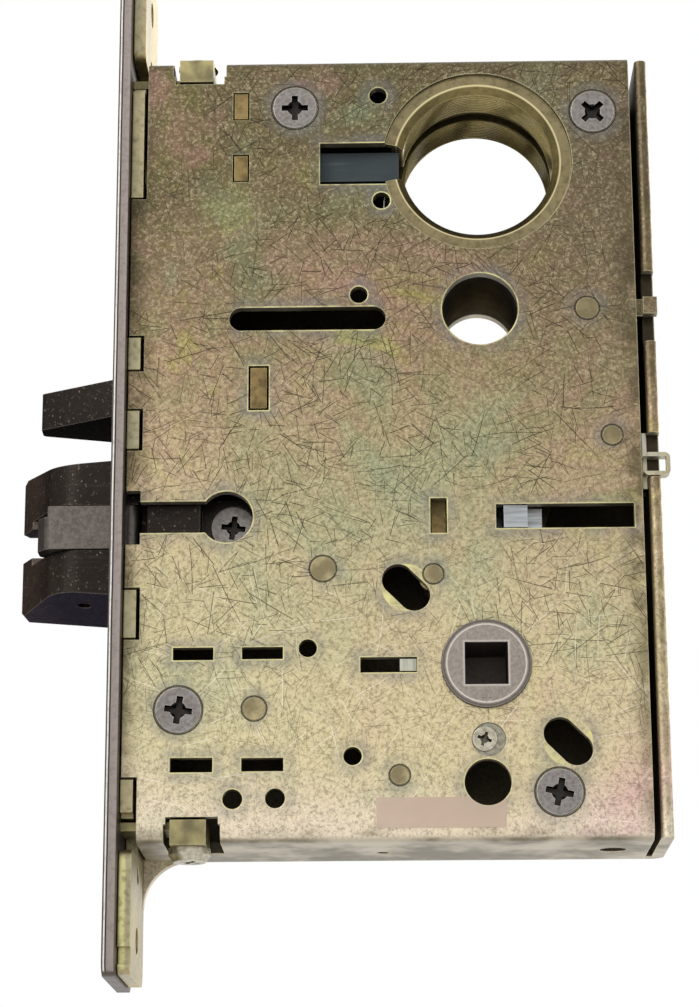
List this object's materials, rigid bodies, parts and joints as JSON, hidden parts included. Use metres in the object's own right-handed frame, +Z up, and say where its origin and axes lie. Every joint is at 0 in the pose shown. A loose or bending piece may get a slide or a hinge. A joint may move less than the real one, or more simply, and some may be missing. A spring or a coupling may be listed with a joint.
{
  "type": "mortise lock",
  "caption": "Mortise lock case with bevelled latchbolt and swinging tongue, auxiliary latch, split lever hub, armoured front and threaded cylinder hole.",
  "frame": {"origin": "lever hub axis, at the middle of the case thickness", "axes": "+Z up the case, +X into the door away from the front, +Y to the far side (the near cover is at -Y)"},
  "size_m": [0.1244, 0.0318, 0.2031],
  "materials": {
    "dichromate": "yellow zinc plated sheet steel, satin",
    "zinc_sheet": "bright zinc plated steel, satin",
    "dark_screws": "dark nickel plated screws",
    "post_steel": "turned steel, satin",
    "collar": "gold zinc plated threaded collar",
    "guide_brass": "brass, satin",
    "label": "blank translucent label film",
    "spring_steel": "spring wire",
    "front_bronze": "dark bronze front, satin",
    "bolt_bronze": "oiled dark sintered steel",
    "tail_steel": "plain steel",
    "tongue_steel": "grey sintered steel",
    "hub_steel": "grey sintered steel, matt",
    "lever_zinc": "zinc plated stamped lever",
    "slate": "dark slate blued steel"
  },
  "bodies": {
    "case": {"cap": "dichromate", "case_shell": "dichromate", "inner_front": "dichromate", "case_screws": "dark_screws", "case_posts": "post_steel", "rivet_posts": "post_steel", "cylinder_collar_near": "collar", "cylinder_collar_far": "collar", "turn_sleeve": "slate", "set_screw_bracket": "zinc_sheet", "aux_guide": "guide_brass", "aux_spring_stop": "zinc_sheet", "latch_guide": "guide_brass", "function_screw": "post_steel", "function_bush": "post_steel", "label": "label", "latch_spring": "spring_steel", "aux_spring": "spring_steel", "hub_spring_inside": "spring_steel", "hub_spring_outside": "spring_steel", "rear_clip": "zinc_sheet"},
    "front": {"armored_front": "front_bronze", "armor_screws": "front_bronze", "bevel_clamps": "lever_zinc", "bevel_screws": "post_steel"},
    "latch": {"latch_head": "bolt_bronze", "latch_tail": "tail_steel", "latch_screw": "dark_screws", "tongue_pin": "post_steel"},
    "tongue": {"antifriction_tongue": "tongue_steel"},
    "aux": {"aux_bolt": "bolt_bronze", "aux_rod": "tail_steel"},
    "hub_inside": {"hub_inside": "hub_steel"},
    "hub_outside": {"hub_outside": "hub_steel"},
    "retractor": {"retractor_lever": "lever_zinc"},
    "deadlock": {"deadlock_lever": "lever_zinc"},
    "stop": {"stop_slide": "zinc_sheet"},
    "clamp": {"cylinder_clamp": "slate"},
    "set_screw": {"cylinder_set_screw": "slate"}
  },
  "joints": [
    {"name": "front_bevel", "type": "hinge", "parent": "case", "child": "front", "pos_m": [-0.0675, -0.0127, 0.04465], "axis": [0, 0, 1], "range_deg": [0, 3.5]},
    {"name": "latch_slide", "type": "slide", "parent": "case", "child": "latch", "axis": [1, 0, 0], "range_m": [0, 0.01905], "stiffness_N_per_m": 400, "springref_m": -0.01, "deforming": ["latch_spring"]},
    {"name": "hub_inside_turn", "type": "hinge", "parent": "case", "child": "hub_inside", "pos_m": [0, 0, 0], "axis": [0, 1, 0], "range_deg": [0, 48.1], "deforming": ["hub_spring_inside"]},
    {"name": "hub_outside_turn", "type": "hinge", "parent": "case", "child": "hub_outside", "pos_m": [0, 0, 0], "axis": [0, 1, 0], "range_deg": [0, 48.1], "deforming": ["hub_spring_outside"]},
    {"name": "retractor_turn", "type": "hinge", "parent": "case", "child": "retractor", "pos_m": [0.0205, 0.0086, 0.0695], "axis": [0, -1, 0], "range_deg": [0, 26.1]},
    {"name": "tongue_swing", "type": "hinge", "parent": "latch", "child": "tongue", "pos_m": [-0.076, -0.001, 0.0282], "axis": [0, 0, -1], "range_deg": [0, 6]},
    {"name": "aux_slide", "type": "slide", "parent": "case", "child": "aux", "axis": [1, 0, 0], "range_m": [0, 0.015], "stiffness_N_per_m": 300, "springref_m": -0.01, "deforming": ["aux_spring"]},
    {"name": "deadlock_turn", "type": "hinge", "parent": "case", "child": "deadlock", "pos_m": [-0.0302, 0.0076, 0.0184], "axis": [0, 1, 0], "range_deg": [0, 26.2]},
    {"name": "stop_slide_travel", "type": "slide", "parent": "case", "child": "stop", "axis": [-1, 0, 0], "range_m": [0, 0.0065]},
    {"name": "clamp_slide", "type": "slide", "parent": "case", "child": "clamp", "axis": [1, 0, 0], "range_m": [0, 0.0012]},
    {"name": "set_screw_turn", "type": "hinge", "parent": "case", "child": "set_screw", "pos_m": [-0.05, -0.0066, 0.1003], "axis": [1, 0, 0], "range_deg": [0, 541]}
  ],
  "couplings": [
    {"joint": "hub_inside_turn", "follows": "latch_slide", "rad_per_m": 43.977},
    {"joint": "hub_outside_turn", "follows": "latch_slide", "rad_per_m": 43.977},
    {"joint": "retractor_turn", "follows": "latch_slide", "rad_per_m": 23.692},
    {"joint": "deadlock_turn", "follows": "aux_slide", "rad_per_m": 30.25},
    {"joint": "set_screw_turn", "follows": "clamp_slide", "rad_per_m": 7854}
  ]
}
